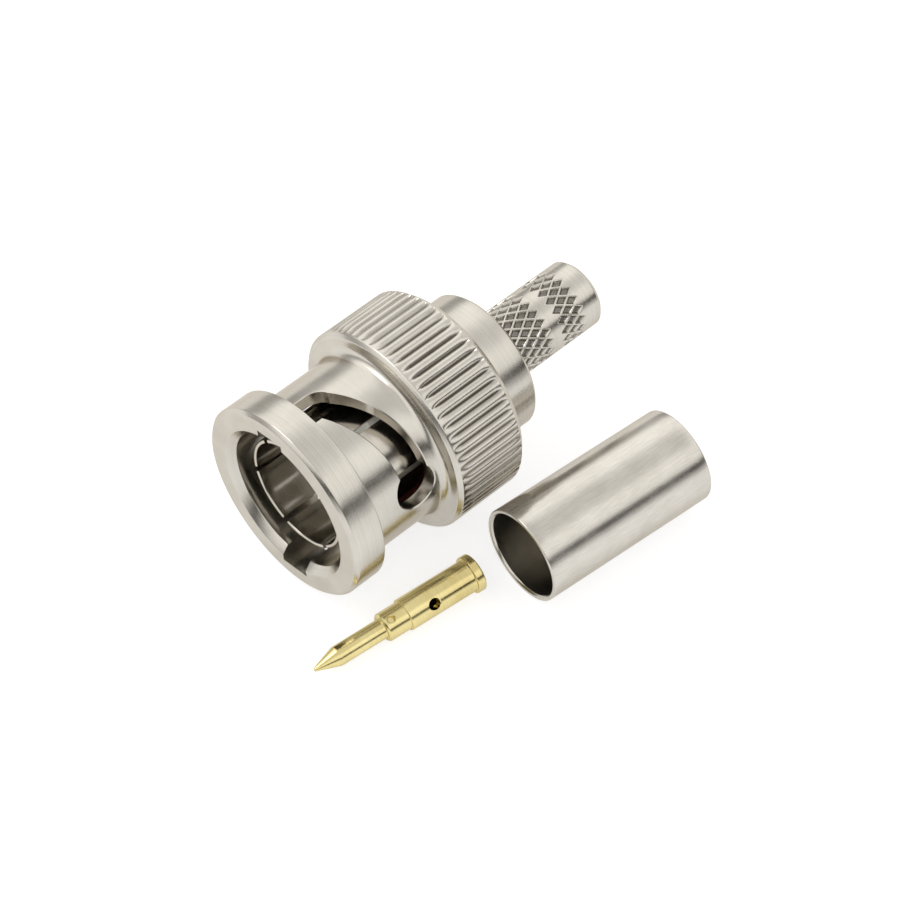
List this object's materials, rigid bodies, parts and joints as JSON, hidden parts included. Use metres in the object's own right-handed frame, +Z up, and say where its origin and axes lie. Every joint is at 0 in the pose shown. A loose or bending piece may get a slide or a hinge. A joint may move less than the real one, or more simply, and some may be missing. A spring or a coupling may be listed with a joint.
{
  "type": "bnc connector",
  "caption": "Coaxial bayonet plug for crimping on a cable, laid out loose: plug with knurled turning nut, gold centre contact pin and plain crimp ferrule.",
  "frame": {"origin": "centre of the coupling nut's mouth, in the plane of its front face, on the plug's axis", "axes": "+X along the plug's axis from the mouth to the cable end, +Z up from the surface that the pieces lie on"},
  "size_m": [0.0297, 0.0224, 0.0144],
  "materials": {
    "nickel_plate": "satin nickel plate on brass",
    "bright_nickel": "bright nickel plate on spring brass",
    "gold_plate": "polished gold plate on brass",
    "spring_steel": "satin",
    "fluoropolymer": "satin",
    "silicone": "matte"
  },
  "bodies": {
    "plug": {"plug_body": "nickel_plate", "outer_contact": "bright_nickel", "gasket": "silicone", "front_washer": "spring_steel", "wave_washer": "spring_steel", "front_insulator": "fluoropolymer", "rear_insulator": "fluoropolymer", "contact_pin": "gold_plate", "crimp_ferrule": "nickel_plate"},
    "thrust_ring": {"thrust_washer": "spring_steel"},
    "nut": {"coupling_nut": "nickel_plate"}
  },
  "joints": [
    {"name": "nut_slide", "type": "slide", "parent": "plug", "child": "thrust_ring", "axis": [-1, 0, 0], "range_m": [0, 0.0008], "stiffness_N_per_m": 8000, "springref_m": -0.0003, "deforming": ["wave_washer"]},
    {"name": "nut_spin", "type": "hinge", "parent": "thrust_ring", "child": "nut", "pos_m": [0, 0, 0], "axis": [1, 0, 0], "continuous": true}
  ]
}
